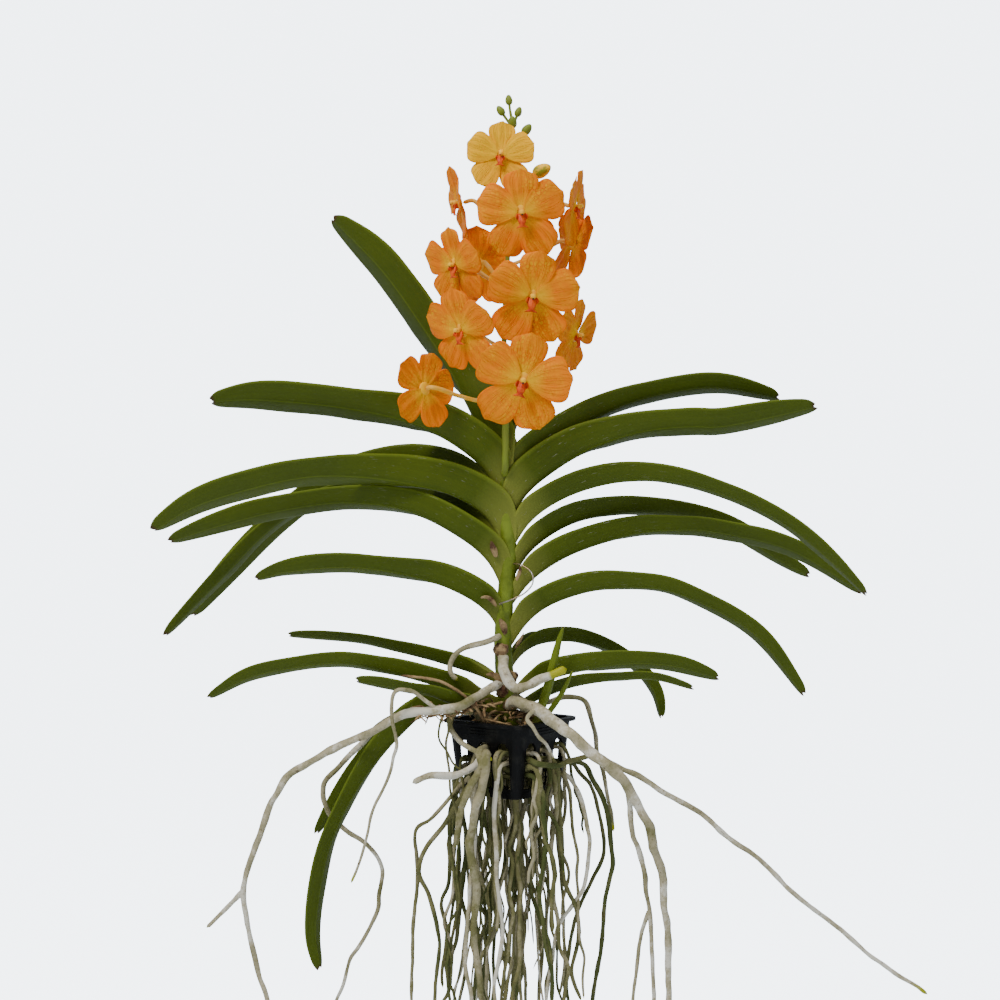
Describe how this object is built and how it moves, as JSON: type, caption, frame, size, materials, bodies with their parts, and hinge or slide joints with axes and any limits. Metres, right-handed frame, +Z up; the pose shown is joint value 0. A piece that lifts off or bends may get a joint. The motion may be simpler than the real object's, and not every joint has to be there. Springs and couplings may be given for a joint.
{
  "type": "vanda orchid",
  "caption": "Vanda orchid in a small hanging slatted basket, with strap leaves in two rows, an upright spike of orange blooms and free hanging roots.",
  "frame": {"origin": "middle of the basket's rim, in the plane of its top face", "axes": "+Z up along the stem; +X to the right and +Y away from the viewer as the picture shows it"},
  "size_m": [0.6614, 0.2272, 0.8607],
  "materials": {
    "basket_plastic": "satin black",
    "stem_green": "waxy green sheaths with dry brown bits",
    "leaf_green": "waxy, half gloss",
    "bloom_orange": "soft, finely veined",
    "bloom_yellow": "soft, finely veined",
    "spike_green": "smooth, pale",
    "root_silver": "matt, corky",
    "root_olive": "matt, corky",
    "dry_brown": "dry, fibrous",
    "tie_wire": "dull"
  },
  "bodies": {
    "root": {"basket": "basket_plastic", "stem": "stem_green", "leaf_left_upright": "leaf_green", "leaf_left_upper": "leaf_green", "leaf_left_rear": "leaf_green", "leaf_left_broad": "leaf_green", "leaf_left_droop": "leaf_green", "leaf_left_under": "leaf_green", "leaf_left_middle": "leaf_green", "leaf_left_low_rear": "leaf_green", "leaf_left_low": "leaf_green", "leaf_left_short": "leaf_green", "leaf_left_hanging": "leaf_green", "leaf_left_hanging_rear": "leaf_green", "leaf_right_upper": "leaf_green", "leaf_right_broad": "leaf_green", "leaf_right_arch": "leaf_green", "leaf_right_rear": "leaf_green", "leaf_right_middle": "leaf_green", "leaf_right_lower": "leaf_green", "leaf_right_low_bent": "leaf_green", "leaf_right_low": "leaf_green", "leaf_right_low_rear": "leaf_green", "leaf_top_right": "leaf_green", "bloom_01": "bloom_yellow", "bloom_02": "bloom_orange", "bloom_03": "bloom_orange", "bloom_04": "bloom_orange", "bloom_05": "bloom_orange", "bloom_06": "bloom_orange", "bloom_07": "bloom_orange", "bloom_08": "bloom_orange", "bloom_09": "bloom_orange", "bloom_10": "bloom_orange", "bloom_11": "bloom_orange", "bloom_12": "bloom_orange", "bloom_13": "bloom_orange", "flower_spike": "spike_green", "root_thick_crown": "root_silver", "root_thick_right": "root_silver", "root_left": "root_silver", "root_left_winding": "root_silver", "root_loop": "root_silver", "root_right_rear": "root_silver", "root_over_rim": "root_silver", "dry_stalk": "dry_brown", "tie_wire": "tie_wire", "young_shoot": "leaf_green", "basket_roots": "root_olive"}
  },
  "joints": []
}
